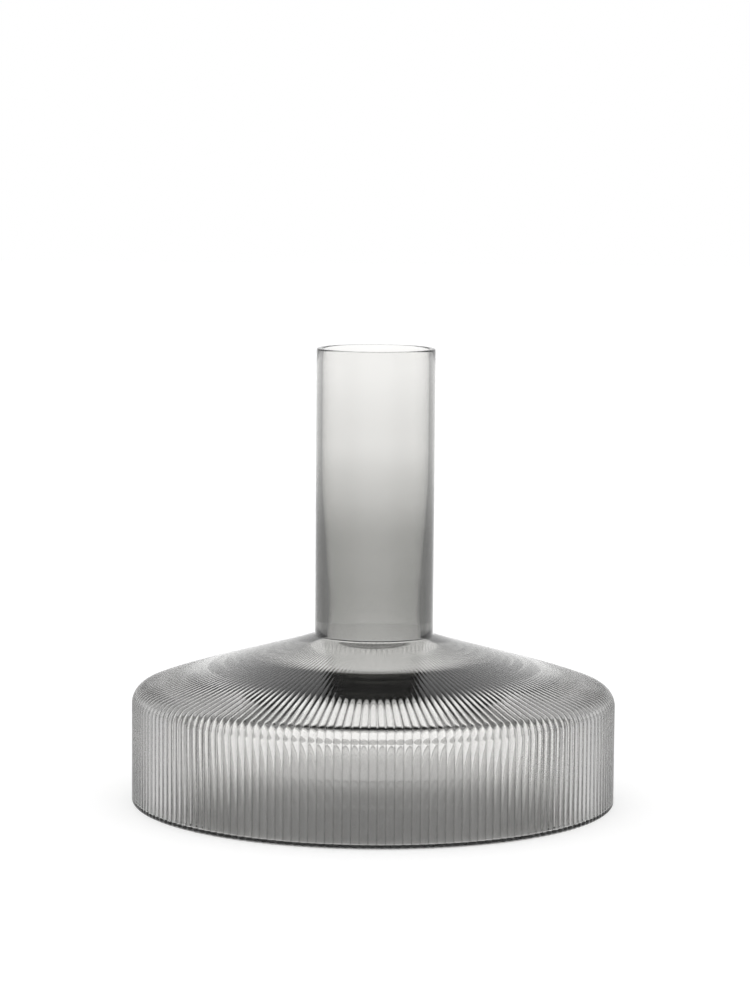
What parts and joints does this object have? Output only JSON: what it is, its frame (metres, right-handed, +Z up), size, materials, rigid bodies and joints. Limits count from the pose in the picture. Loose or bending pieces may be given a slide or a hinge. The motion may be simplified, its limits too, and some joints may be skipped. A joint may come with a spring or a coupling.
{
  "type": "wine carafe",
  "caption": "Smoked-glass wine carafe: a low, wide, finely ribbed bowl with a domed base and a straight, smooth neck open at the top.",
  "frame": {"origin": "centre of the base, on the plane that the carafe stands on", "axes": "+Z up along the axis of the neck and the bowl; X and Y are equal, because the carafe is round"},
  "size_m": [0.24, 0.24, 0.226],
  "materials": {
    "smoked_glass": "clear, lightly smoked, fire-polished"
  },
  "bodies": {
    "root": {"neck": "smoked_glass", "neck_foot": "smoked_glass", "ribbed_shoulder": "smoked_glass", "ribbed_side_wall": "smoked_glass", "base": "smoked_glass"}
  },
  "joints": []
}
